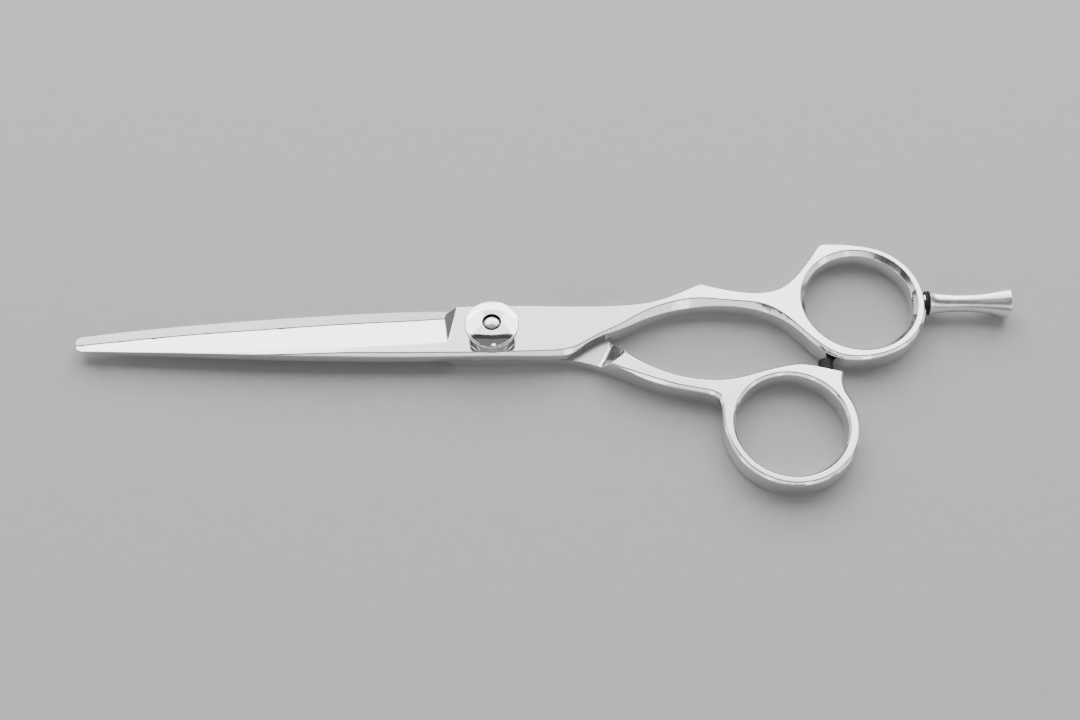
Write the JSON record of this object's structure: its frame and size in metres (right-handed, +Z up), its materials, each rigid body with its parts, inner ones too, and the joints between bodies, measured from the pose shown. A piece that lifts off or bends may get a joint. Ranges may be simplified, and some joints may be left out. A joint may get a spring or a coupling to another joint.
{
  "type": "hair cutting shears",
  "caption": "Offset hair cutting shears with bevelled blades, a domed tension dial, round finger and thumb rings, a rubber bumper and a screw-in finger rest.",
  "frame": {"origin": "middle of the pivot post's flat head, in the plane that the shears lie on", "axes": "+X from the pivot towards the rings, along the closed blades; +Z up, square to the blades, towards the tension dial"},
  "size_m": [0.1683, 0.0491, 0.0074],
  "materials": {
    "blade_steel": "satin-polished stainless steel",
    "polished_chrome": "mirror polished",
    "inner_steel": "plain ground",
    "black_rubber": "matt",
    "grey_rubber": "matt",
    "brass_bush": "plain",
    "white_nylon": "plain"
  },
  "bodies": {
    "finger_half": {"finger_blade": "blade_steel", "pivot_post": "polished_chrome", "click_plate": "inner_steel", "disc_spring": "inner_steel", "pressure_washer": "inner_steel", "finger_rest": "polished_chrome", "rest_washer": "black_rubber"},
    "thumb_half": {"thumb_blade": "blade_steel", "pivot_bush": "brass_bush", "head_washer": "white_nylon", "bumper": "grey_rubber"},
    "cage": {"ball_cage": "white_nylon", "bearing_balls": "inner_steel"},
    "dial": {"dial_cap": "polished_chrome", "dial_nut": "inner_steel", "click_balls": "inner_steel"}
  },
  "joints": [
    {"name": "shear_pivot", "type": "hinge", "parent": "finger_half", "child": "thumb_half", "pos_m": [0, 0, 0.0023], "axis": [0, 0, -1], "range_deg": [0, 90]},
    {"name": "cage_roll", "type": "hinge", "parent": "finger_half", "child": "cage", "pos_m": [0, 0, 0.0023], "axis": [0, 0, -1], "range_deg": [0, 45]},
    {"name": "dial_turn", "type": "hinge", "parent": "finger_half", "child": "dial", "pos_m": [0, 0, 0.0055], "axis": [0, 0, -1], "range_deg": [-60, 60]}
  ],
  "couplings": [
    {"joint": "cage_roll", "follows": "shear_pivot", "ratio": 0.5}
  ]
}
